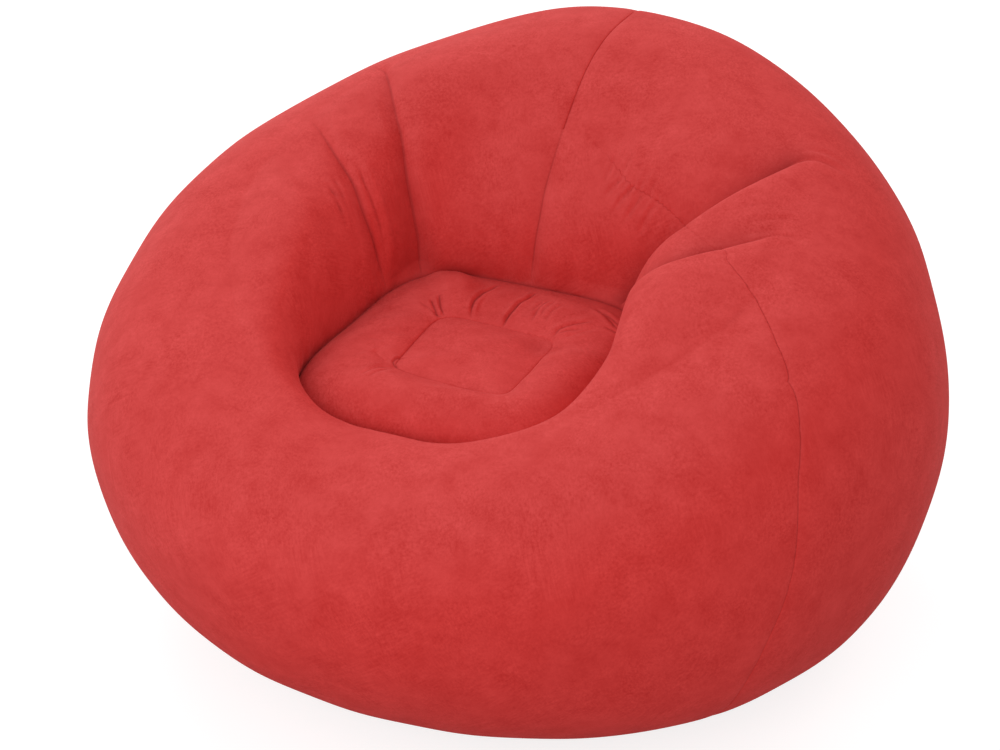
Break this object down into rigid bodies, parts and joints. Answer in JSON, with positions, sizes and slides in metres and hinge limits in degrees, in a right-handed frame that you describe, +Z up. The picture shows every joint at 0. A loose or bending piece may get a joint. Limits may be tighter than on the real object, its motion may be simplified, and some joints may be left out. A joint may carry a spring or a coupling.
{
  "type": "inflatable armchair",
  "caption": "Low inflatable armchair: a fat flocked air ring, high at the back, round a small welded seat, with an air valve on its side.",
  "frame": {"origin": "on the floor, under the middle of the chair", "axes": "+Z up, -Y is the chair's front, +X is the viewer's right as they face the chair"},
  "size_m": [1.0823, 1.0398, 0.6869],
  "materials": {
    "flocked_skin": "flocked, suede-like",
    "base_vinyl": "satin vinyl",
    "web_film": "clear film",
    "valve_vinyl": "moulded soft vinyl"
  },
  "bodies": {
    "chair_body": {"main_wrap_panel": "flocked_skin", "rear_shoulder_panel": "flocked_skin", "seat_panel": "flocked_skin", "base_panel": "base_vinyl", "seat_edge_tie": "web_film", "seat_tie_front": "web_film", "seat_tie_right": "web_film", "seat_tie_back": "web_film", "seat_tie_left": "web_film", "valve_base": "valve_vinyl"},
    "plug": {"valve_plug": "valve_vinyl", "check_flap": "valve_vinyl"},
    "cap": {"valve_cap": "valve_vinyl"}
  },
  "joints": [
    {"name": "plug_pull", "type": "slide", "parent": "chair_body", "child": "plug", "axis": [-1, 0, 0], "range_m": [0, 0.014]},
    {"name": "cap_hinge", "type": "hinge", "parent": "plug", "child": "cap", "pos_m": [-0.54345, 0, 0.308], "axis": [0, 1, 0], "range_deg": [0, 150]}
  ]
}
